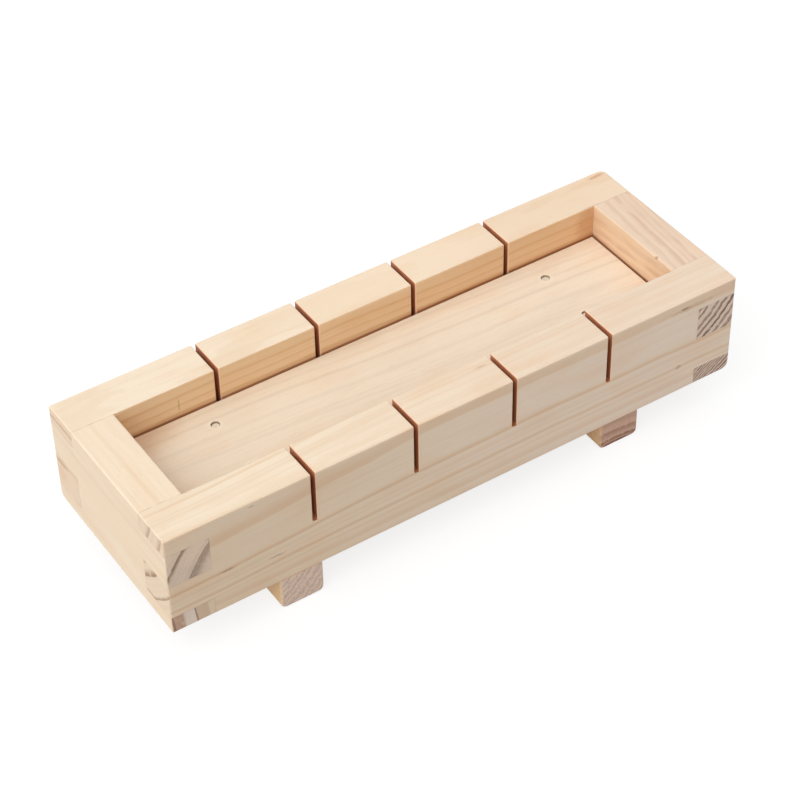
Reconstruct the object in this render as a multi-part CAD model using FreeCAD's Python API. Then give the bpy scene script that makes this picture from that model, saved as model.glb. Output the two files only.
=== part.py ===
"""Sushi rice mold press: a slotted finger-jointed frame that stands on a footed base,
with the press plate stored inside it, turned over so that its flat face looks up.

Frame of the part: +X along the length, +Y from front to back, +Z up.
Origin: centre of the footprint, on the surface that the feet stand on. Millimetres.
"""
import FreeCAD, Part
import os

os.makedirs("parts", exist_ok=True)
V = FreeCAD.Vector

# ---- frame: two slotted rails and two end boards, finger-jointed ----
frame_length = 208.0
frame_width = 70.0
frame_height = 37.5
rail_thickness = 14.5
end_thickness = 14.5
finger_height = 12.5           # each of the two middle fingers of a corner
portions = 5                   # rice blocks that the slots divide the cavity into
slot_width = 1.5
slot_depth = 18.75
edge_ease = 0.5                # sanded outer edges and rim of the frame
slot_ease = 0.3                # sanded mouths of the slots
back_bottom_round = 2.5        # lower outer edge of the back rail
right_bottom_round = 2.5       # lower outer edge of the right end board

# ---- base: board and two feet ----
base_board_thickness = 6.5
board_clearance = 0.5          # all round, between either board and the walls
board_ease = 0.4
foot_height = 12.5
foot_width = 15.0
foot_end_recess = 1.75         # foot's end behind the frame's outer face
foot_round = 2.0               # lower long edges of a foot
left_foot_inset = 44.4         # foot's middle from the frame's end
right_foot_inset = 42.5
left_foot_shift = -1.4         # a foot nailed on a little to the front or back
right_foot_shift = 0.35

# ---- press: board and two handle bars ----
press_board_thickness = 6.5
handle_height = 12.5
handle_width = 14.0
handle_end_recess = 1.0        # handle's end behind the press board's long edge
handle_round = 2.0             # free long edges of a handle
bar_ease = 0.5                 # ends of the feet and of the handles
left_handle_inset = 28.1       # handle's middle from the press board's end
right_handle_inset = 25.8

# ---- brads, two through a board into each bar ----
nail_length = 16.0
nail_shank = 1.3               # side of the square shank
nail_head_diameter = 2.6
nail_head_thickness = 0.7
nail_point_length = 2.0
nail_edge_distance = 9.0       # from the long edge of the board
nail_pit_depth = 0.5           # head set below the face
nail_pit_gap = 0.2             # crushed wood round the head

# ---- tolerances of the geometry tests ----
place_tolerance = 1e-4         # places closer than this are the same place
parallel_tolerance = 1e-6      # longest cross product of an edge and its direction
smooth_cosine = 0.999          # faces meet smoothly where their normals' cosine is above this

# ---- levels and extents that follow ----
frame_bottom = foot_height
frame_top = frame_bottom + frame_height
outer_finger_height = (frame_height - 2 * finger_height) / 2
cavity_length = frame_length - 2 * end_thickness
cavity_width = frame_width - 2 * rail_thickness
slot_pitch = (cavity_length + slot_width) / portions
slot_floor = frame_top - slot_depth
board_length = cavity_length - 2 * board_clearance
board_width = cavity_width - 2 * board_clearance
base_board_top = foot_height + base_board_thickness
press_board_bottom = base_board_top + handle_height
press_board_top = press_board_bottom + press_board_thickness
foot_length = frame_width - 2 * foot_end_recess
handle_length = board_width - 2 * handle_end_recess
left_foot_x = left_foot_inset - frame_length / 2
right_foot_x = frame_length / 2 - right_foot_inset
left_handle_x = left_handle_inset - board_length / 2
right_handle_x = board_length / 2 - right_handle_inset
nail_y = board_width / 2 - nail_edge_distance

# levels at which the fingers of a corner change over, from the bottom up
finger_levels = [
    frame_bottom,
    frame_bottom + outer_finger_height,
    frame_bottom + outer_finger_height + finger_height,
    frame_bottom + outer_finger_height + 2 * finger_height,
    frame_top,
]


def centred_box(length, width, bottom, top, x=0.0, y=0.0):
    """Box centred on (x, y), from level bottom to level top."""
    corner = V(x - length / 2, y - width / 2, bottom)
    return Part.makeBox(length, width, top - bottom, corner)


def edges_along(shape, direction, keep=lambda middle: True):
    """Straight edges parallel to direction whose middle point passes keep."""
    found = []
    for edge in shape.Edges:
        if not isinstance(edge.Curve, (Part.Line, Part.LineSegment)):
            continue
        ends = [vertex.Point for vertex in edge.Vertexes]
        run = ends[1] - ends[0]
        if run.cross(direction).Length < parallel_tolerance and keep((ends[0] + ends[1]) / 2):
            found.append(edge)
    return found


def near(value, target):
    return abs(value - target) < place_tolerance


def is_sharp(shape, edge):
    """True where the two faces that meet at the edge stand at an angle to each other."""
    faces = shape.ancestorsOfType(edge, Part.Face)
    if len(faces) != 2:
        return False
    middle = edge.valueAt((edge.FirstParameter + edge.LastParameter) / 2)
    normals = [face.normalAt(*face.Surface.parameter(middle)) for face in faces]
    return abs(normals[0].dot(normals[1])) < smooth_cosine


def sharp_edges(shape):
    return [edge for edge in shape.Edges if is_sharp(shape, edge)]


# ---- frame ----
def frame_block():
    """Outer block of the frame with its sanded edges."""
    half_length = frame_length / 2
    half_width = frame_width / 2
    block = centred_box(frame_length, frame_width, frame_bottom, frame_top)
    back_edge = edges_along(
        block, V(1, 0, 0), lambda m: near(m.y, half_width) and near(m.z, frame_bottom)
    )
    block = block.makeFillet(back_bottom_round, back_edge)
    right_edge = edges_along(
        block, V(0, 1, 0), lambda m: near(m.x, half_length) and near(m.z, frame_bottom)
    )
    block = block.makeFillet(right_bottom_round, right_edge)
    return block.makeFillet(edge_ease, sharp_edges(block))


def slot_places():
    """X of each slot, evenly spread so that every portion has the same length."""
    count = portions - 1
    return [(index - (count - 1) / 2) * slot_pitch for index in range(count)]


def ease_slot_mouths(frame):
    """Bevels the edges of every slot, up one face of its rail, over it and down the other."""
    sides = []
    for place in slot_places():
        sides.extend([place - slot_width / 2, place + slot_width / 2])

    def on_mouth(edge):
        middle = edge.CenterOfMass
        on_side = any(near(middle.x, side) for side in sides)
        return on_side and middle.z > slot_floor + slot_ease

    return frame.makeChamfer(slot_ease, [edge for edge in frame.Edges if on_mouth(edge)])


def frame_solid():
    """The glued-up frame: open cavity, eased rim, knife slots through both rails."""
    cavity = centred_box(cavity_length, cavity_width, frame_bottom, frame_top)
    frame = frame_block().cut(cavity)
    rim = [
        edge
        for edge in frame.Edges
        if near(edge.CenterOfMass.z, frame_top)
        and abs(edge.CenterOfMass.x) < cavity_length / 2 + edge_ease / 2
        and abs(edge.CenterOfMass.y) < cavity_width / 2 + edge_ease / 2
    ]
    frame = frame.makeFillet(edge_ease, rim)
    for place in slot_places():
        frame = frame.cut(centred_box(slot_width, frame_width, slot_floor, frame_top, place))
    return ease_slot_mouths(frame)


def rail_fingers(side):
    """Space of one rail: it reaches the ends of the frame at every second level."""
    y = side * (frame_width - rail_thickness) / 2
    bands = []
    for level, (bottom, top) in enumerate(zip(finger_levels, finger_levels[1:])):
        length = frame_length if level % 2 else cavity_length
        bands.append(centred_box(length, rail_thickness, bottom, top, 0.0, y))
    return bands[0].multiFuse(bands[1:]).removeSplitter()


def make_frame():
    """Front and back rail and left and right end board, cut apart at their fingers."""
    frame = frame_solid()
    front = rail_fingers(-1)
    back = rail_fingers(1)
    ends = frame.cut(front).cut(back)
    left, right = sorted(ends.Solids, key=lambda solid: solid.CenterOfMass.x)
    return {
        "front_rail": frame.common(front),
        "back_rail": frame.common(back),
        "left_end_board": left,
        "right_end_board": right,
    }


# ---- brads ----
def brad(x, y, face):
    """One brad driven straight down, its head set below the level face."""
    head_bottom = face - nail_pit_depth - nail_head_thickness
    shank_bottom = face - nail_pit_depth - nail_length + nail_point_length
    head = Part.makeCylinder(nail_head_diameter / 2, nail_head_thickness, V(x, y, head_bottom))
    shank = centred_box(nail_shank, nail_shank, shank_bottom, head_bottom, x, y)
    corner = V(x - nail_shank / 2, y - nail_shank / 2, shank_bottom)
    root = Part.makePolygon([
        corner,
        corner + V(nail_shank, 0, 0),
        corner + V(nail_shank, nail_shank, 0),
        corner + V(0, nail_shank, 0),
        corner,
    ])
    tip = Part.Vertex(x, y, shank_bottom - nail_point_length)
    point = Part.makeLoft([root, tip], True)
    return head.multiFuse([shank, point])


def brad_pit(x, y, face):
    """Pit that the punched-in head leaves, a little wider than the head."""
    depth = nail_pit_depth + nail_head_thickness
    radius = nail_head_diameter / 2 + nail_pit_gap
    return Part.makeCylinder(radius, depth, V(x, y, face - depth))


def brad_pair(x, face):
    """The two brads that hold one bar under a board whose upper face is at face."""
    return [brad(x, y, face) for y in (-nail_y, nail_y)]


def cut_all(shape, tools):
    for tool in tools:
        shape = shape.cut(tool)
    return shape


def nailed_board(bottom, top, bar_places):
    """Board that fits the cavity, with the holes and pits of its brads."""
    board = centred_box(board_length, board_width, bottom, top)
    board = board.makeChamfer(board_ease, board.Edges)
    for x in bar_places:
        board = cut_all(board, brad_pair(x, top))
        board = cut_all(board, [brad_pit(x, y, top) for y in (-nail_y, nail_y)])
    return board


def rounded_bar(width, length, bottom, top, x, y, radius):
    """Bar along Y with its two lower long edges rounded and the rest bevelled."""
    bar = centred_box(width, length, bottom, top, x, y)
    lower = edges_along(bar, V(0, 1, 0), lambda middle: near(middle.z, bottom))
    bar = bar.makeFillet(radius, lower)
    return bar.makeChamfer(bar_ease, sharp_edges(bar))


# ---- base ----
def foot(x, shift):
    """Foot across the width; the frame and the base board both rest on it."""
    bar = rounded_bar(foot_width, foot_length, 0.0, foot_height, x, shift, foot_round)
    return cut_all(bar, brad_pair(x, base_board_top))


def make_base():
    return {
        "base_board": nailed_board(foot_height, base_board_top, (left_foot_x, right_foot_x)),
        "left_foot_bar": foot(left_foot_x, left_foot_shift),
        "right_foot_bar": foot(right_foot_x, right_foot_shift),
        "left_foot_nails": Part.makeCompound(brad_pair(left_foot_x, base_board_top)),
        "right_foot_nails": Part.makeCompound(brad_pair(right_foot_x, base_board_top)),
    }


# ---- press ----
def handle(x):
    """Handle bar of the press, stored downwards between the two boards."""
    bar = rounded_bar(
        handle_width, handle_length, base_board_top, press_board_bottom, x, 0.0, handle_round
    )
    return cut_all(bar, brad_pair(x, press_board_top))


def make_press():
    handles = (left_handle_x, right_handle_x)
    return {
        "press_board": nailed_board(press_board_bottom, press_board_top, handles),
        "left_handle_bar": handle(left_handle_x),
        "right_handle_bar": handle(right_handle_x),
        "left_handle_nails": Part.makeCompound(brad_pair(left_handle_x, press_board_top)),
        "right_handle_nails": Part.makeCompound(brad_pair(right_handle_x, press_board_top)),
    }


for group in (make_frame(), make_base(), make_press()):
    for node, shape in group.items():
        shape.exportStep("parts/" + node + ".step")
        box = shape.BoundBox
        print(node, "solids", len(shape.Solids), "valid", shape.isValid(),
              "volume", round(shape.Volume, 1), "z", round(box.ZMin, 2), round(box.ZMax, 2))
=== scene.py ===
"""The looks of the sushi rice mold press: pale softwood boards, steel brads and a white studio.

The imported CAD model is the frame. It stays as it is, and this script gives each of its nodes a
procedural material, lights it, and sets the camera. Lengths in the materials are millimetres in
the model's own frame, so that each mark stays where it is on its board when the board moves.
"""

import math
from dataclasses import dataclass

import bpy
from mathutils import Matrix, Vector


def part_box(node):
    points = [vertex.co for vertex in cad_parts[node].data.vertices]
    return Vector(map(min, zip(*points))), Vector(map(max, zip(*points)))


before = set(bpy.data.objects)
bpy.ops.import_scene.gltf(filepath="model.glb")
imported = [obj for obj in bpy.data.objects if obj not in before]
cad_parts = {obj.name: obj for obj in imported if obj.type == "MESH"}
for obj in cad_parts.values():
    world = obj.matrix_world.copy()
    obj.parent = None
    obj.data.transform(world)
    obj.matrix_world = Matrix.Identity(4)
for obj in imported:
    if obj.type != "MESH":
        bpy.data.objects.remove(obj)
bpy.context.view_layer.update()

MM = 0.001

# The frame's joinery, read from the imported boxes, in millimetres.
rail_low, rail_high = (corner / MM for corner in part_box("front_rail"))
end_low, end_high = (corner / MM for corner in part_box("left_end_board"))
FRAME_LENGTH = rail_high.x - rail_low.x
FRAME_WIDTH = end_high.y - end_low.y
FRAME_BOTTOM = rail_low.z
FRAME_TOP = rail_high.z
RAIL_THICKNESS = rail_high.y - rail_low.y
END_THICKNESS = end_high.x - end_low.x
INNER_X = FRAME_LENGTH / 2 - END_THICKNESS
INNER_Y = FRAME_WIDTH / 2 - RAIL_THICKNESS
FINGER_HEIGHT = (FRAME_TOP - FRAME_BOTTOM) / 3
FIRST_FINGER = FRAME_BOTTOM + FINGER_HEIGHT / 2
PRESS_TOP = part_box("press_board")[1].z / MM

# The knife slots cut the cavity into five portions.
PORTIONS = 5
SLOT_WIDTH = 1.5
HALF_SLOT = SLOT_WIDTH / 2
SLOT_PITCH = (2 * INNER_X + SLOT_WIDTH) / PORTIONS
SLOTS_END = SLOT_PITCH * (PORTIONS - 1) / 2
SLOT_FLOOR = FRAME_TOP - (FRAME_TOP - FRAME_BOTTOM) / 2


def srgb(red, green, blue):
    """A colour written as 0-255 sRGB, as the linear colour that Blender's nodes take."""
    def linear(value):
        value /= 255
        return value / 12.92 if value <= 0.04045 else ((value + 0.055) / 1.055) ** 2.4
    return (linear(red), linear(green), linear(blue), 1.0)


# ---------------------------------------------------------------- node building

class Field:
    """A number that varies over a surface: a node socket that takes ordinary arithmetic."""

    def __init__(self, sheet, socket):
        self.sheet = sheet
        self.socket = socket

    def op(self, name, *others):
        node = self.sheet.node("ShaderNodeMath", operation=name)
        for socket, value in zip(node.inputs, (self, *others)):
            self.sheet.put(socket, value)
        return Field(self.sheet, node.outputs[0])

    def __add__(self, other):
        return self.op("ADD", other)

    def __radd__(self, other):
        return self.op("ADD", other)

    def __sub__(self, other):
        return self.op("SUBTRACT", other)

    def __rsub__(self, other):
        return (self * -1.0).op("ADD", other)

    def __mul__(self, other):
        return self.op("MULTIPLY", other)

    def __rmul__(self, other):
        return self.op("MULTIPLY", other)

    def __truediv__(self, other):
        return self.op("DIVIDE", other)

    def __abs__(self):
        return self.op("ABSOLUTE")

    def floor(self):
        return self.op("FLOOR")

    def fraction(self):
        return self.op("FRACT")

    def root(self):
        return self.op("SQRT")

    def sign(self):
        return self.op("SIGN")

    def least(self, other):
        return self.op("MINIMUM", other)

    def most(self, other):
        return self.op("MAXIMUM", other)

    def nearer(self, other):
        """Whichever of the two numbers is closer to 0."""
        pick = self.op("ABSOLUTE").op("LESS_THAN", abs(other))
        return pick * self + (1.0 - pick) * other

    def over(self, start, end):
        """0 at start and 1 at end, with a soft step between them."""
        node = self.sheet.node("ShaderNodeMapRange", interpolation_type="SMOOTHSTEP")
        self.sheet.put(node.inputs["Value"], self)
        low, high, first, last = (start, end, 0.0, 1.0) if start < end else (end, start, 1.0, 0.0)
        self.sheet.put(node.inputs["From Min"], low)
        self.sheet.put(node.inputs["From Max"], high)
        self.sheet.put(node.inputs["To Min"], first)
        self.sheet.put(node.inputs["To Max"], last)
        return Field(self.sheet, node.outputs["Result"])


class Sheet:
    """The node tree of one material, with a short call for each kind of node."""

    def __init__(self, name):
        self.material = bpy.data.materials.new(name)
        self.material.use_nodes = True
        self.tree = self.material.node_tree
        self.tree.nodes.clear()

    def node(self, kind, **settings):
        made = self.tree.nodes.new(kind)
        for key, value in settings.items():
            setattr(made, key, value)
        return made

    def put(self, socket, value):
        if isinstance(value, Field):
            value = value.socket
        if isinstance(value, bpy.types.NodeSocket):
            self.tree.links.new(value, socket)
        else:
            socket.default_value = value

    def place(self):
        """The point of the surface in the model's frame at rest, in millimetres."""
        node = self.node("ShaderNodeTexCoord")
        split = self.node("ShaderNodeSeparateXYZ")
        self.put(split.inputs[0], node.outputs["Object"])
        return [Field(self, output) / MM for output in split.outputs]

    def normal(self):
        """The three parts of the surface's outward direction in the model's frame."""
        node = self.node("ShaderNodeTexCoord")
        split = self.node("ShaderNodeSeparateXYZ")
        self.put(split.inputs[0], node.outputs["Normal"])
        return [Field(self, output) for output in split.outputs]

    def vector(self, x, y, z):
        node = self.node("ShaderNodeCombineXYZ")
        for socket, value in zip(node.inputs, (x, y, z)):
            self.put(socket, value)
        return node.outputs[0]

    def noise(self, x, y, z, detail=2.0, roughness=0.5):
        """Smooth noise about 0, mostly between -0.25 and 0.25, whose lumps are about one unit."""
        node = self.node("ShaderNodeTexNoise")
        self.put(node.inputs["Vector"], self.vector(x, y, z))
        self.put(node.inputs["Scale"], 1.0)
        self.put(node.inputs["Detail"], detail)
        self.put(node.inputs["Roughness"], roughness)
        return Field(self, node.outputs["Fac"]) - 0.5

    def dice(self, number):
        """A random number from 0 to 1 for each whole number."""
        node = self.node("ShaderNodeTexWhiteNoise", noise_dimensions="1D")
        self.put(node.inputs["W"], number)
        return Field(self, node.outputs["Value"])

    def curve(self, field, points):
        """A smooth curve through (input, output) points, from 0 to 1."""
        node = self.node("ShaderNodeFloatCurve")
        self.put(node.inputs["Value"], field)
        line = node.mapping.curves[0]
        while len(line.points) < len(points):
            line.points.new(0.5, 0.5)
        for point, (x, y) in zip(line.points, points):
            point.location = (x, y)
        node.mapping.update()
        return Field(self, node.outputs[0])

    def blend(self, amount, first, second, kind="MIX"):
        node = self.node("ShaderNodeMix", data_type="RGBA", blend_type=kind)
        self.put(node.inputs[0], amount)
        self.put(node.inputs[6], first)
        self.put(node.inputs[7], second)
        return node.outputs[2]

    def bump(self, height, distance):
        """A surface raised by height times distance, in millimetres."""
        node = self.node("ShaderNodeBump")
        self.put(node.inputs["Height"], height)
        self.put(node.inputs["Strength"], 1.0)
        self.put(node.inputs["Distance"], distance * MM)
        return node.outputs[0]

    def surface(self, colour, roughness, **settings):
        """Ends the tree in a Principled shader. Settings are its own sockets, by name."""
        shader = self.node("ShaderNodeBsdfPrincipled")
        self.put(shader.inputs["Base Color"], colour)
        self.put(shader.inputs["Roughness"], roughness)
        for key, value in settings.items():
            self.put(shader.inputs[key.replace("_", " ")], value)
        output = self.node("ShaderNodeOutputMaterial")
        self.put(output.inputs["Surface"], shader.outputs[0])
        return self.material


# ---------------------------------------------------------------- wood

PALE = srgb(247, 230, 207)
LINE = srgb(216, 168, 108)
GREY_LINE = srgb(190, 165, 140)
END_PALE = srgb(236, 217, 198)
END_LINE = srgb(134, 106, 86)
ROSY = (0.985, 0.93, 0.885, 1.0)


@dataclass
class DarkYear:
    """A single year that stands out: how far from the pith, how wide, and how dark.

    edge is how far its dark outer side takes to fade.
    """

    radius: float
    width: float
    side: float = 1.0
    end: float = 1.0
    edge: float = 0.3


@dataclass
class Taper:
    """How the log changes along the board: its centre rises, and its rings stretch upwards."""

    start: float
    end: float
    rise: float
    stretch: float


@dataclass
class Board:
    """What sets one board apart: where it lay in its log, its years and its colours.

    grain is the axis that the fibres follow. pith is the log's centre across it: (y, z) where the
    grain runs along X, and (x, z) where it runs along Y. ring is the mean width of a year. pale is
    the early wood's colour, at the low and the high end of the grain, and line is the late wood's.
    """

    grain: str
    pith: tuple
    ring: float
    seed: float
    pale: tuple = (PALE, PALE)
    line: tuple = LINE
    end_pale: tuple = END_PALE
    end_line: tuple = END_LINE
    lean: tuple = (0.0, 0.0)        # how far the log's centre moves for each millimetre of grain
    taper: Taper = None
    crowd: tuple = ()               # (radius, years more for each millimetre beyond it)
    dark_years: tuple = ()
    side_years: float = 0.3         # how strong the ordinary years are along the grain
    end_years: float = 0.8          # and on end grain
    dark_side: float = 0.36
    speckle: float = 1.0
    streaks: float = 0.2
    wave: float = 1.0
    wave_length: float = 70.0
    ripple: float = 0.5
    broken: float = 0.0             # how much the dark years fade in places along the grain


# How strongly each kind of grain brings out a board's line colour, or the rosy one.
FLUSH_SHADE = 0.7
FIBRE_SHADE = 0.35
CLOUD_SHADE = 0.45
CANAL_SHADE = 0.15
PATCH_SHADE = 0.7               # how much of the end grain's years a pale patch hides

GRAIN_DEPTH = 0.05              # of the bumps, in millimetres
SWAY = 4.0                      # how far the log's centre wanders, in millimetres for 1 of noise

# A year's darkness over its width, from its early wood at 0 to its late wood's end at 1.
SIDE_SHAPE = ((0.0, 0.0), (0.55, 0.08), (0.8, 0.4), (0.94, 1.0), (1.0, 0.0))
END_SHAPE = ((0.0, 0.1), (0.48, 0.05), (0.62, 0.85), (0.93, 1.0), (1.0, 0.1))


def dark_year(radius, year):
    """One year's late wood: it darkens slowly outwards and ends at a sharp line."""
    off = radius - year.radius
    inward = off.over(-year.width, -0.05 * year.width)
    return inward * inward * off.over(year.edge, 0.0)


def log_radius(sheet, board, along, across, z):
    """How far a point of the board lay from the centre of its log."""
    sway = sheet.noise(along / board.wave_length + board.seed, across / 30.0, z / 30.0, detail=1.5)
    lift = sheet.noise(along / board.wave_length - board.seed, across / 30.0 + 7.0, z / 30.0,
                       detail=1.5)
    from_pith = across - board.pith[0] - along * board.lean[0] + sway * (SWAY * board.wave)
    above_pith = z - board.pith[1] - along * board.lean[1] + lift * (SWAY * board.wave)
    if board.taper:
        change = along.over(board.taper.start, board.taper.end)
        stretch = 1.0 + change * board.taper.stretch
        above_pith = (above_pith - change * board.taper.rise) / stretch
    ripple = sheet.noise(along / 14.0 + board.seed, across / 2.5, z / 2.5) * board.ripple
    return (from_pith * from_pith + above_pith * above_pith).root() + ripple


def wood(name, board, extras=()):
    """Softwood, cut from a round log: years as rings on end grain and as lines along the grain.

    A noise's divisors are the length and the thickness of its lumps, in millimetres.
    """
    sheet = Sheet(name)
    x, y, z = sheet.place()
    nx, ny, _ = sheet.normal()
    along, across, facing = (x, y, nx) if board.grain == "X" else (y, x, ny)
    seed = board.seed

    radius = log_radius(sheet, board, along, across, z)
    uneven = sheet.noise(radius / 9.0 + seed, 0.0, 0.0, detail=1.0) * board.ring * 2.0
    age = (radius + uneven) / board.ring + seed
    if board.crowd:
        age = (radius - board.crowd[0]).most(0.0) * board.crowd[1] + age
    chance = sheet.dice(age.floor())
    late = sheet.curve(age.fraction(), SIDE_SHAPE) * (0.1 + 0.9 * chance * chance)
    dark = 0.0
    end_late = sheet.curve(age.fraction(), END_SHAPE) * (0.5 + 0.5 * chance) * board.end_years
    for year in board.dark_years:
        shape = dark_year(radius, year)
        dark = shape * year.side + dark
        end_late = end_late.most(shape * year.end)

    fibre = sheet.noise(along / 9.0, across / 0.45 + seed, z / 0.45, detail=3.0, roughness=0.65)
    streak = sheet.noise(along / 60.0, across / 1.1 - seed, z / 1.1, detail=3.0, roughness=0.6)
    cloud = sheet.noise(along / 38.0 + seed, across / 9.0, z / 9.0 - seed, detail=2.0)
    flush = sheet.noise(along / 22.0 - seed, across / 6.0, z / 6.0 + seed, detail=1.0)
    speck = sheet.noise(along / 0.5, across / 0.5 + seed, z / 0.5, detail=2.0, roughness=0.7)
    patch = sheet.noise(along, across / 1.8 - seed, z / 1.8, detail=2.0)
    canal = sheet.noise(along / 3.2 - seed, across / 0.35, z / 0.35, detail=0.0).over(0.22, 0.3)
    ending = abs(facing).over(0.55, 0.85)

    side = sheet.blend(along.over(-80.0, 80.0), *board.pale)
    side = sheet.blend(flush.over(-0.05, 0.25) * FLUSH_SHADE, side, ROSY, kind="MULTIPLY")
    side = sheet.blend(late * board.side_years, side, board.line)
    if board.broken:
        gap = sheet.noise(along / 10.0 - seed, across / 2.5, z / 2.5, detail=1.0)
        dark = dark * (1.0 - gap.over(-0.08, 0.12) * board.broken)
    if board.dark_years:
        side = sheet.blend(dark * board.dark_side, side, board.line)
    side = sheet.blend((fibre * FIBRE_SHADE).most(0.0), side, board.line)
    side = sheet.blend(streak.over(0.02, 0.3) * board.streaks, side, board.line)
    side = sheet.blend((cloud * CLOUD_SHADE).most(0.0), side, board.line)
    side = sheet.blend(canal * CANAL_SHADE, side, board.line)
    whole = 1.0 - patch.over(0.0, 0.3) * PATCH_SHADE
    end = sheet.blend(end_late * whole, board.end_pale, board.end_line)
    end = sheet.blend((speck * board.speckle).most(0.0), end, board.end_line)
    colour = sheet.blend(ending, side, end)
    for extra in extras:
        colour = extra(sheet, (x, y, z), colour)

    grain = fibre * (1.0 - ending) + speck * ending + late * 0.25
    return sheet.surface(
        colour,
        0.62 + fibre * 0.2 - late * 0.06,
        Specular_IOR_Level=0.35,
        Normal=sheet.bump(grain, GRAIN_DEPTH),
    )


# ---------------------------------------------------------------- what was done to the wood, and painted light and shade

JOINT = srgb(165, 136, 110)
# Slot colours: a painted highlight on one edge of each mouth, and saw scorch with painted shade
# inside.
SLOT_EDGE_HIGHLIGHT = srgb(246, 208, 178)
SLOT_LIP = srgb(206, 140, 100)
SLOT_WALL_BURN_AND_SHADE = srgb(176, 108, 70)
# Painted shadow at the far side of each brad pit and on the brad heads.
PIT_SHADOW = srgb(134, 114, 88)
HALO = srgb(252, 236, 212)
# Painted shade: the colour of the dark band and line on the inner faces along the press board.
PAINTED_CONTACT_SHADE = (0.5, 0.24, 0.13, 1.0)

# The reach of each kind of wear and of painted light and shade, in millimetres. A pair is where
# it ends and where it is full.
JOINT_REACH = (0.22, 0.08)
JOINT_STRENGTH = 0.6
# Painted highlight on one edge of each slot's mouth.
MOUTH_HIGHLIGHT_REACH = (HALF_SLOT + 0.6, HALF_SLOT + 0.3)
MOUTH_HIGHLIGHT_STRENGTH = 0.55
WALL_REACH = (HALF_SLOT + 0.02, HALF_SLOT - 0.08)
CUT_REACH = (HALF_SLOT + 0.14, HALF_SLOT)
CUT_RAGGED = 0.3
# How deep the slot walls take to turn from the lip colour to the darker wall colour: saw scorch and
# painted shade together.
BURN_AND_SHADE_DEPTH = 3.6
SCORCH_RAGGED = 2.4
# Painted shade on the inner faces along the press board's top: a soft band and a dark contact line.
SHADE_REACH = (2.4, 0.2)
SHADE_STRENGTH = 0.16
CONTACT_SHADE_ABOVE = (0.35, 0.05)
CONTACT_SHADE_BELOW = (-1.1, -0.85)
CONTACT_SHADE_STRENGTH = 0.75
# Painted shadow inside each brad pit's far side.
PIT_SHADOW_REACH = (0.32, 0.12)
PIT_SHADOW_FAR_SIDE = (-0.7, 0.6)
PIT_SHADOW_STRENGTH = 0.8
HALO_REACH = (1.6, 0.9)
HALO_STRENGTH = 0.25


def finger_joints(sheet, place, colour):
    """Thin dark lines where the rails' fingers meet the end boards' at the four corners."""
    x, y, z = place
    out_x = abs(x)
    out_y = abs(y)
    in_corner_x = out_x.over(INNER_X - 0.1, INNER_X)
    in_corner_y = out_y.over(INNER_Y - 0.1, INNER_Y)
    step = (z - FIRST_FINGER) / FINGER_HEIGHT
    level = abs(step - (step + 0.5).floor()) * FINGER_HEIGHT
    rail_finger = abs((step * 0.5).fraction() - 0.25).over(0.255, 0.245)
    flat = level.over(*JOINT_REACH) * in_corner_x * in_corner_y
    upright_x = abs(out_x - INNER_X).over(*JOINT_REACH) * in_corner_y * (1.0 - rail_finger)
    upright_y = abs(out_y - INNER_Y).over(*JOINT_REACH) * in_corner_x * rail_finger
    worn = 0.3 + sheet.noise(x / 5.0, y / 5.0, z / 5.0) * 3.0
    line = flat.most(upright_x).most(upright_y) * worn.most(0.05).least(1.0)
    return sheet.blend(line * JOINT_STRENGTH, colour, JOINT)


def slot_burn_and_shade(sheet, place, colour):
    """The knife slots' walls, scorched by the saw and given painted shade: orange at the mouth and
    brown below, darker deeper in the slot. One edge of each mouth has a painted highlight.
    """
    x, y, z = place
    across = ((x / SLOT_PITCH).fraction() - 0.5) * SLOT_PITCH
    ragged = sheet.noise(x / 2.0, y / 0.8, z / 0.8, detail=2.0) * CUT_RAGGED
    off_centre = abs(across)
    among_slots = abs(x).over(SLOTS_END, SLOTS_END - 1.0)
    slotted = among_slots * z.over(SLOT_FLOOR - 0.4, SLOT_FLOOR - 0.2)
    # Painted highlight on one side of each slot's mouth.
    mouth = across.over(*MOUTH_HIGHLIGHT_REACH) * across.over(0.0, 0.2) * slotted
    cut = abs(sheet.normal()[0]).over(0.35, 0.7) * off_centre.over(*CUT_REACH)
    wall = (off_centre + ragged).over(*WALL_REACH).most(cut) * slotted
    scorch = sheet.noise(x / 3.0, y / 3.0, z / 3.0, detail=2.0) * SCORCH_RAGGED
    colour = sheet.blend(mouth * MOUTH_HIGHLIGHT_STRENGTH, colour, SLOT_EDGE_HIGHLIGHT)
    # Saw scorch with painted shade: the walls darken deeper in the slot.
    burnt_and_shaded = sheet.blend((FRAME_TOP - z + scorch).over(0.0, BURN_AND_SHADE_DEPTH), SLOT_LIP, SLOT_WALL_BURN_AND_SHADE)
    return sheet.blend(wall, colour, burnt_and_shaded)


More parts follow.
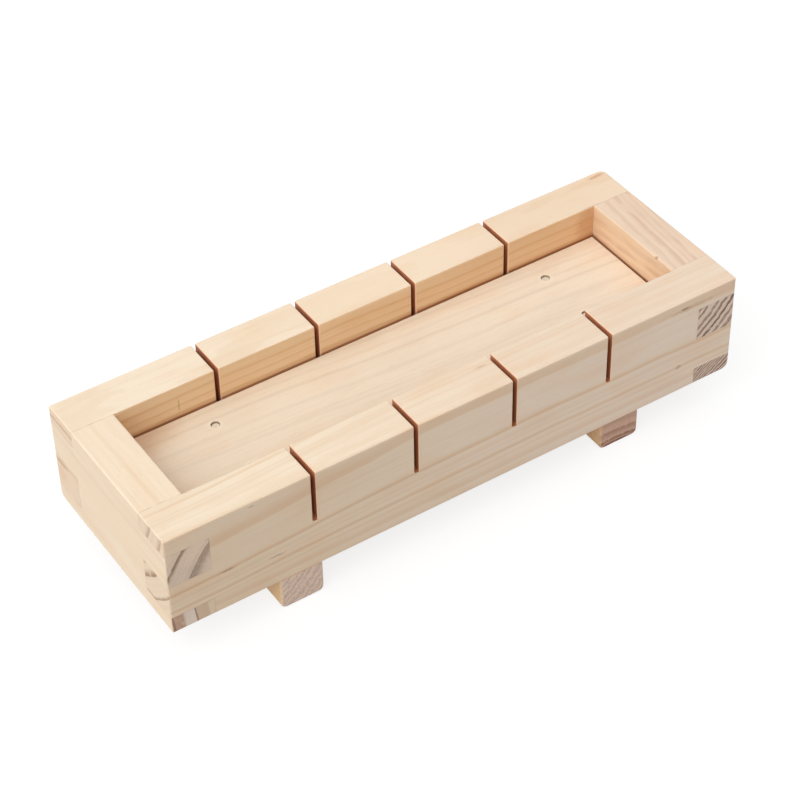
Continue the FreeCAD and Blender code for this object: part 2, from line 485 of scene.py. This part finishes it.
def painted_cavity_shade(shade_tint, contact_shaded):
    """The cavity's faces get painted shade: a deeper, more orange colour than the outer faces,
    standing in for the shade and the warm light bounced about inside the cavity.

    A contact-shaded face also has painted shade along the press board: a soft darker band above
    its top and a dark line where the board meets the face.
    """
    def extra(sheet, place, colour):
        x, y, z = place
        inside = abs(x).over(INNER_X + 0.3, INNER_X) * abs(y).over(INNER_Y + 0.3, INNER_Y)
        if not contact_shaded:
            return sheet.blend(inside, colour, shade_tint, kind="MULTIPLY")
        # Painted shade: a soft darker band and a dark line just above the press board's top.
        above = z - PRESS_TOP
        near = above.over(*SHADE_REACH)
        contact_line = above.over(*CONTACT_SHADE_ABOVE) * above.over(*CONTACT_SHADE_BELOW)
        colour = sheet.blend(inside, colour, shade_tint, kind="MULTIPLY")
        colour = sheet.blend(inside * near * SHADE_STRENGTH, colour, PAINTED_CONTACT_SHADE, kind="MULTIPLY")
        return sheet.blend(inside * contact_line * CONTACT_SHADE_STRENGTH, colour, PAINTED_CONTACT_SHADE, kind="MULTIPLY")
    return extra


def brad_place(place, nails):
    """How far a point lies from the nearest brad's middle, in x and in y, and its head's radius."""
    x, y, _ = place
    beside = None
    for name in nails:
        low, high = (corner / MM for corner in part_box(name))
        head = (high.x - low.x) / 2
        off = x - (low.x + high.x) / 2
        beside = off if beside is None else beside.nearer(off)
    return beside, y - y.sign() * (high.y - head), head


def brad_pits(nails):
    """Crushed wood round the punched-in heads of the named nodes' brads, with a painted shadow
    at the far side of each pit.
    """
    def extra(sheet, place, colour):
        beside, ahead, head = brad_place(place, nails)
        ring = (beside * beside + ahead * ahead).root() - head
        # Painted shadow on the far side of the pit.
        far_shadow = ring.over(*PIT_SHADOW_REACH) * ahead.over(*PIT_SHADOW_FAR_SIDE)
        colour = sheet.blend(ring.over(*HALO_REACH) * HALO_STRENGTH, colour, HALO)
        return sheet.blend(far_shadow * PIT_SHADOW_STRENGTH, colour, PIT_SHADOW)
    return extra


def mark(centre, reach, colour, strength, ragged=1.6):
    """A knot, scratch, stain or patch of painted shade: a soft spot about centre, as large as reach
    each way.
    """
    def extra(sheet, place, under):
        away = None
        for axis, middle, half in zip(place, centre, reach):
            square = ((axis - middle) / half)
            square = square * square
            away = square if away is None else away + square
        x, y, z = place
        rough = sheet.noise(x / 1.5, y / 1.5, z / 0.8, detail=2.0) * ragged
        spot = (away.root() + rough).over(1.25, 0.45)
        return sheet.blend(spot * strength, under, colour)
    return extra


def banded_finger(sheet, place, colour):
    """The left end board's lowest finger: brown wood, a grey strip, a dark line, tan wood.

    Each band is where it lies along x, how strong it is, and its colour. Later ones lie on top.
    """
    x, y, z = place
    rough = sheet.noise(x / 1.2, 3.0, z / 1.6, detail=2.0)
    across = x + (z - FRAME_BOTTOM) * 0.12 + rough * 0.7
    on = abs(sheet.normal()[1]).over(0.5, 0.8) * z.over(FIRST_FINGER + 0.5, FIRST_FINGER)
    on = on * y.over(-INNER_Y, -INNER_Y - 1.0)
    grey = (across.over(-93.0, -95.0), 0.5, srgb(238, 224, 212))
    cream = (across.over(-92.0, -91.0), 0.5, srgb(236, 212, 176))
    brown = (across.over(-98.9, -99.9), 0.75 + rough * 1.4, srgb(194, 150, 120))
    edge = (abs(across + 103.0).over(0.6, 0.1), 0.6, srgb(116, 84, 66))
    tan = (across.over(-95.7, -95.2) * across.over(-90.6, -91.6), 0.85, srgb(220, 188, 158))
    line = (abs(across + 95.4).over(0.45, 0.1), 0.7, srgb(128, 100, 78))
    for band, strength, tone in (grey, cream, brown, edge, tan, line):
        colour = sheet.blend(on * band * strength, colour, tone)
    return colour


# Painted shade at the front rail's left end and painted light at its right end.
FRONT_LEFT_PAINTED_SHADE = (0.94, 0.88, 0.84, 1.0)
FRONT_RIGHT_PAINTED_LIGHT = (1.08, 1.09, 1.12, 1.0)


def front_painted_light(sheet, place, colour):
    """Painted light and shade: the front rail's outer face is painted browner and darker at its
    left end and paler at its right, as the light falls across it.
    """
    x, y, _ = place
    face = y.over(-FRAME_WIDTH / 2 + 0.6, -FRAME_WIDTH / 2 + 0.2)
    tone = sheet.blend(x.over(-110.0, 90.0), FRONT_LEFT_PAINTED_SHADE, FRONT_RIGHT_PAINTED_LIGHT)
    return sheet.blend(face, colour, tone, kind="MULTIPLY")


BOARDS = {
    "front_rail": Board(
        "X", (2.4, 60.2), 2.3, 3.1, (srgb(248, 230, 205), srgb(239, 218, 196)),
        end_pale=srgb(242, 218, 191), end_line=srgb(150, 108, 74),
        taper=Taper(-90.0, -5.0, 9.4, 0.19),
        dark_years=(
            DarkYear(27.4, 1.2, 0.5, 0.0, 0.6), DarkYear(31.7, 2.6, 0.35, 0.5, 0.5),
            DarkYear(37.6, 2.8, 0.25, 0.5, 0.5),
            DarkYear(42.2, 3.6, 0.75, 0.8, 0.5), DarkYear(49.6, 1.6, 1.0, 0.7),
            DarkYear(51.4, 1.6, 0.35, 0.0), DarkYear(54.2, 1.3, 0.95, 0.0),
            DarkYear(55.7, 1.0, 0.4, 0.0), DarkYear(58.0, 2.6, 0.6, 0.0, 0.7),
            DarkYear(60.4, 1.6, 0.4, 0.0, 0.6),
        ),
        side_years=0.2, end_years=0.06, dark_side=0.43, speckle=0.35, wave=0.45),
    "back_rail": Board(
        "X", (28.0, -60.0), 2.6, 8.7, (srgb(250, 232, 207), srgb(243, 218, 190)),
        end_pale=srgb(243, 218, 190), end_line=srgb(168, 116, 76),
        dark_years=(DarkYear(107.6, 1.8, 0.0, 0.45, 0.4), DarkYear(106.4, 2.0, 1.0, 0.0),
                    DarkYear(103.1, 1.6, 0.8, 0.0), DarkYear(99.8, 2.4, 0.9, 0.0, 0.8),
                    DarkYear(90.2, 1.4, 0.0, 0.25, 0.4)),
        side_years=0.18, end_years=0.06, speckle=0.4),
    "left_end_board": Board(
        "Y", (-40.0, 1.5), 4.5, 5.3, (srgb(249, 228, 201), srgb(249, 230, 204)),
        end_pale=srgb(241, 216, 192), end_line=srgb(132, 96, 74),
        dark_years=(DarkYear(75.4, 1.6, 0.4, 0.0, 0.8),
                    DarkYear(72.1, 2.4, 0.08, 0.85, 0.5), DarkYear(64.2, 1.0, 0.08, 0.75, 0.5),
                    DarkYear(63.6, 5.0, 0.0, 0.6, 0.6)),
        side_years=0.12, end_years=0.1, wave=0.5),
    "right_end_board": Board(
        "Y", (57.9, 77.0), 2.6, 2.9, (srgb(240, 215, 190), srgb(238, 211, 186)),
        srgb(200, 162, 136), end_pale=srgb(240, 213, 192), end_line=srgb(94, 64, 50),
        lean=(0.1, 0.0), crowd=(67.0, 0.42),
        dark_years=(DarkYear(43.9, 1.6, 0.7, 0.0, 0.6), DarkYear(47.2, 2.4, 1.0, 0.0, 0.7),
                    DarkYear(49.3, 1.2, 0.6, 0.0, 0.5), DarkYear(51.2, 1.8, 0.9, 0.0, 0.6),
                    DarkYear(52.9, 1.0, 0.7, 0.0, 0.5)),
        side_years=0.36, end_years=1.0, dark_side=0.42, wave=0.8, ripple=1.6, broken=0.8),
    "press_board": Board(
        "X", (62.0, 10.0), 1.9, 6.6, (srgb(240, 222, 198), srgb(242, 224, 201)), GREY_LINE,
        lean=(-0.055, 0.0),
        dark_years=(DarkYear(52.2, 1.6, 0.9, edge=0.8), DarkYear(56.0, 1.6, 0.6, edge=0.9),
                    DarkYear(59.5, 2.0, 1.0, edge=0.9), DarkYear(66.0, 2.0, 0.8, edge=1.0),
                    DarkYear(72.5, 2.0, 0.6, edge=1.0)),
        side_years=0.16, dark_side=0.17, streaks=0.1, wave=0.8, wave_length=60.0, ripple=0.9),
    "base_board": Board("X", (-6.0, -30.0), 3.0, 1.7),
    # The feet's side faces are a strong orange: partly the wood's own colour, partly painted warm
    # light bounced onto them from the frame above.
    "left_foot_bar": Board(
        "Y", (-86.0, 34.0), 2.3, 4.4, (srgb(255, 216, 168), srgb(255, 216, 168)),
        end_pale=srgb(240, 214, 195), end_line=srgb(150, 116, 96), side_years=0.12,
        end_years=0.34, speckle=2.6, streaks=0.08, ripple=2.2),
    # This foot's orange sides are also partly painted warm light bounced from the frame.
    "right_foot_bar": Board(
        "Y", (61.0, -40.0), 3.6, 9.2, (srgb(255, 210, 162), srgb(255, 210, 162)),
        end_pale=srgb(224, 184, 160), end_line=srgb(132, 80, 60),
        dark_years=(DarkYear(52.9, 1.6, 0.0, 0.5, 0.4), DarkYear(45.6, 3.8, 0.3, 0.5, 0.8),
                    DarkYear(42.6, 2.6, 0.3, 0.75, 0.7), DarkYear(41.0, 1.6, 0.6, 1.0, 0.5)),
        side_years=0.12, end_years=0.2, speckle=1.4, streaks=0.08, ripple=0.9),
    "left_handle_bar": Board("Y", (-60.0, 70.0), 2.6, 7.5),
    "right_handle_bar": Board("Y", (30.0, 5.0), 2.2, 0.8),
}

OUTER_Y = FRAME_WIDTH / 2
DASH = srgb(142, 96, 62)
MARKS = {
    "front_rail": (
        mark((-84.6, -OUTER_Y, 27.7), (3.4, 1.5, 0.5), DASH, 0.4),
        mark((-68.0, -OUTER_Y, 24.0), (3.6, 1.5, 0.45), DASH, 0.32),
        mark((82.6, -OUTER_Y, 23.0), (1.2, 1.5, 0.8), srgb(170, 118, 82), 0.4),
        mark((83.3, -OUTER_Y, 46.8), (2.8, 1.5, 0.4), srgb(112, 70, 46), 0.65),
        mark((87.0, -OUTER_Y, 46.5), (11.0, 1.5, 0.9), srgb(196, 150, 112), 0.35),
        mark((-75.3, -OUTER_Y, 48.4), (1.2, 1.2, 0.4), srgb(160, 130, 105), 0.35),
        mark((12.5, -INNER_Y - 3.5, FRAME_TOP), (2.4, 0.5, 1.5), srgb(190, 160, 132), 0.35),
        mark((-104.0, -22.5, 19.3), (1.5, 3.6, 0.5), srgb(170, 132, 100), 0.5, 0.6),
    ),
    "left_end_board": (
        mark((-104.0, -1.0, 32.0), (1.5, 40.0, 7.0), srgb(250, 224, 190), 0.35, 1.2),
        mark((-97.0, -OUTER_Y, 31.0), (11.0, 1.5, 8.0), srgb(146, 138, 132), 0.12, 0.3),
    ),
    "back_rail": (
        mark((100.0, 33.0, FRAME_TOP), (3.2, 0.7, 1.5), srgb(204, 142, 110), 0.55),
        mark((8.0, 28.0, FRAME_TOP), (46.0, 11.0, 2.0), srgb(255, 234, 206), 0.3, 0.3),
        mark((-104.0, 31.0, 29.2), (1.5, 4.6, 1.0), srgb(196, 146, 102), 0.5, 0.6),
        mark((-104.0, 32.0, 24.5), (1.5, 4.0, 3.5), srgb(232, 196, 166), 0.45, 1.2),
        mark((-67.9, INNER_Y, 42.6), (0.4, 1.0, 2.6), srgb(176, 128, 84), 0.4),
        # Painted shade on the back rail's inner face, in the corner by the right end board.
        mark((88.0, INNER_Y, 43.0), (6.0, 1.0, 9.0), srgb(182, 120, 74), 0.35, 0.6),
    ),
    "right_end_board": (
        mark((89.7, -12.5, FRAME_TOP - 0.3), (0.5, 0.7, 0.8), srgb(150, 92, 50), 0.5, 0.8),
        mark((97.0, -OUTER_Y, 17.0), (11.0, 1.5, 6.0), srgb(124, 84, 66), 0.14, 0.3),
    ),
    "press_board": (
        # Painted shade in the press board's back-left corner, where the back rail and left end
        # board shade it.
        mark((-89.0, 20.0, 38.0), (20.0, 11.0, 3.0), srgb(206, 162, 124), 0.5, 0.25),
    ),
}

# Painted shade on the cavity's inner faces: the colour that each board's inner faces are multiplied
# by.
CAVITY_PAINTED_SHADE = {
    "front_rail": (0.93, 0.79, 0.64, 1.0),
    "back_rail": (0.93, 0.81, 0.65, 1.0),
    "left_end_board": (0.9, 0.76, 0.63, 1.0),
    "right_end_board": (0.945, 0.91, 0.82, 1.0),
}
# Boards whose inner faces also carry the painted contact shade along the press board.
CONTACT_SHADED = ("back_rail", "right_end_board")
SLOTTED = ("front_rail", "back_rail")
NAILED = {
    "base_board": ("left_foot_nails", "right_foot_nails"),
    "press_board": ("left_handle_nails", "right_handle_nails"),
}


def wear(node, material):
    """Gives a CAD node one material all over."""
    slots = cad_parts[node].data.materials
    slots.clear()
    slots.append(material)


def dress_wood():
    for name, board in BOARDS.items():
        extras = []
        if name in CAVITY_PAINTED_SHADE:
            extras.append(painted_cavity_shade(CAVITY_PAINTED_SHADE[name], name in CONTACT_SHADED))
            extras.append(finger_joints)
        if name == "front_rail":
            extras.append(front_painted_light)
        if name == "left_end_board":
            extras.append(banded_finger)
        extras.extend(MARKS.get(name, ()))
        if name in SLOTTED:
            extras.append(slot_burn_and_shade)
        if name in NAILED:
            extras.append(brad_pits(NAILED[name]))
        wear(name, wood(name + "_wood", board, extras))


BRIGHT_STEEL = srgb(240, 228, 208)
DULL_STEEL = srgb(206, 190, 166)
# Painted shadow on each brad head's far side: how far its arc is shifted and how dark it is.
SHADOW_ARC_SHIFT = 0.3
SHADOW_ARC_STRENGTH = 0.85


def steel(name):
    """A brad's dull pale steel, its head punched in below the wood, with a painted shadow in an arc
    on the head's far side, where the pit's wall shades it.
    """
    sheet = Sheet(name + "_steel")
    place = sheet.place()
    x, y, z = place
    beside, ahead, head = brad_place(place, [name])
    scratch = sheet.noise(x / 0.3, y / 0.3, z / 3.0, detail=3.0)
    shifted = ahead + SHADOW_ARC_SHIFT
    inner = (beside * beside + shifted * shifted).root()
    # Painted shadow on the head's far side.
    shadow_arc = inner.over(head - 0.15, head + 0.2) * ahead.over(-0.6, 0.4)
    colour = sheet.blend(scratch.over(-0.2, 0.3), BRIGHT_STEEL, DULL_STEEL)
    colour = sheet.blend(shadow_arc * SHADOW_ARC_STRENGTH, colour, PIT_SHADOW)
    return sheet.surface(colour, 0.5 + scratch * 0.3, Metallic=0.3)


def dress_brads():
    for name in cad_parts:
        if name.endswith("_nails"):
            wear(name, steel(name))


# ---------------------------------------------------------------- studio

AIM = Vector((-0.00208, -0.00157, 0.02729))
CAMERA_DISTANCE = 0.7419
CAMERA_AZIMUTH = -32.77
CAMERA_ELEVATION = 42.08
CAMERA_ROLL = -1.19
CAMERA_LENS = 106.39
SENSOR = 36.0

SKY_LIGHT = 0.38

# Each soft box: where its light comes from, how strong it is, and how wide it looks in degrees.
SOFT_BOXES = {
    "top_box": (Vector((0.0, 0.0, 1.0)), 0.75, 80.0),
    "left_box": (Vector((-0.788, 0.0, 0.616)), 1.29, 70.0),
    "front_left_box": (Vector((-0.557, -0.557, 0.616)), 0.62, 70.0),
}
FLOOR_SIZE = 6.0

# The floor bounces light as FLOOR_TONE. To the camera it glows, and its shade keeps the shadow.
FLOOR_TONE = 0.47
FLOOR_SHADE = 0.25
FLOOR_GLOW = 0.80


def make_camera():
    """The photograph's view: from the front left, above."""
    turn = math.radians(CAMERA_AZIMUTH)
    rise = math.radians(CAMERA_ELEVATION)
    outward = math.cos(rise)
    back = Vector((math.sin(turn) * outward, -math.cos(turn) * outward, math.sin(rise)))
    data = bpy.data.cameras.new("camera")
    data.sensor_width = SENSOR
    data.lens = CAMERA_LENS
    data.clip_start = 0.01
    camera = bpy.data.objects.new("camera", data)
    level = back.to_track_quat("Z", "Y").to_matrix().to_4x4()
    roll = Matrix.Rotation(math.radians(CAMERA_ROLL), 4, "Z")
    camera.matrix_world = Matrix.Translation(AIM + back * CAMERA_DISTANCE) @ level @ roll
    bpy.context.scene.collection.objects.link(camera)
    bpy.context.scene.camera = camera


def seen(tree):
    """1 where the camera, a mirror or glass looks, and 0 where light bounces."""
    path = tree.nodes.new("ShaderNodeLightPath")
    total = path.outputs["Is Camera Ray"]
    for name in ("Is Glossy Ray", "Is Transmission Ray"):
        either = tree.nodes.new("ShaderNodeMath")
        either.operation = "MAXIMUM"
        tree.links.new(total, either.inputs[0])
        tree.links.new(path.outputs[name], either.inputs[1])
        total = either.outputs[0]
    return total


def make_sky():
    world = bpy.data.worlds.new("studio")
    bpy.context.scene.world = world
    world.use_nodes = True
    tree = world.node_tree
    tree.nodes.clear()
    light = tree.nodes.new("ShaderNodeBackground")
    light.inputs["Strength"].default_value = SKY_LIGHT
    white = tree.nodes.new("ShaderNodeBackground")
    white.inputs["Color"].default_value = (1.0, 1.0, 1.0, 1.0)
    white.inputs["Strength"].default_value = 1.0
    light.inputs["Color"].default_value = (1.0, 1.0, 1.0, 1.0)
    mix = tree.nodes.new("ShaderNodeMixShader")
    tree.links.new(seen(tree), mix.inputs[0])
    tree.links.new(light.outputs[0], mix.inputs[1])
    tree.links.new(white.outputs[0], mix.inputs[2])
    output = tree.nodes.new("ShaderNodeOutputWorld")
    tree.links.new(mix.outputs[0], output.inputs["Surface"])


def make_soft_boxes():
    for name, (source, strength, width) in SOFT_BOXES.items():
        data = bpy.data.lights.new(name, "SUN")
        data.energy = strength
        data.angle = math.radians(width)
        lamp = bpy.data.objects.new(name, data)
        lamp.rotation_euler = source.to_track_quat("Z", "Y").to_euler()
        lamp.location = source
        bpy.context.scene.collection.objects.link(lamp)


def make_floor():
    """A pale floor that looks white, keeps the object's shadow and bounces a mid tone."""
    half = FLOOR_SIZE / 2
    mesh = bpy.data.meshes.new("floor")
    mesh.from_pydata([(-half, -half, 0), (half, -half, 0), (half, half, 0), (-half, half, 0)], [],
                     [(0, 1, 2, 3)])
    floor = bpy.data.objects.new("floor", mesh)
    bpy.context.scene.collection.objects.link(floor)
    sheet = Sheet("floor_paper")
    tree = sheet.tree
    shaded = tree.nodes.new("ShaderNodeBsdfDiffuse")
    shaded.inputs["Color"].default_value = (FLOOR_SHADE, FLOOR_SHADE, FLOOR_SHADE, 1.0)
    glow = tree.nodes.new("ShaderNodeEmission")
    glow.inputs["Strength"].default_value = FLOOR_GLOW
    paper = tree.nodes.new("ShaderNodeAddShader")
    tree.links.new(shaded.outputs[0], paper.inputs[0])
    tree.links.new(glow.outputs[0], paper.inputs[1])
    bounce = tree.nodes.new("ShaderNodeBsdfDiffuse")
    bounce.inputs["Color"].default_value = (FLOOR_TONE, FLOOR_TONE, FLOOR_TONE, 1.0)
    mix = tree.nodes.new("ShaderNodeMixShader")
    tree.links.new(seen(tree), mix.inputs[0])
    tree.links.new(bounce.outputs[0], mix.inputs[1])
    tree.links.new(paper.outputs[0], mix.inputs[2])
    output = tree.nodes.new("ShaderNodeOutputMaterial")
    tree.links.new(mix.outputs[0], output.inputs["Surface"])
    mesh.materials.append(sheet.material)


bpy.context.scene.view_settings.view_transform = "Standard"
dress_wood()
dress_brads()
make_sky()
make_soft_boxes()
make_floor()
make_camera()
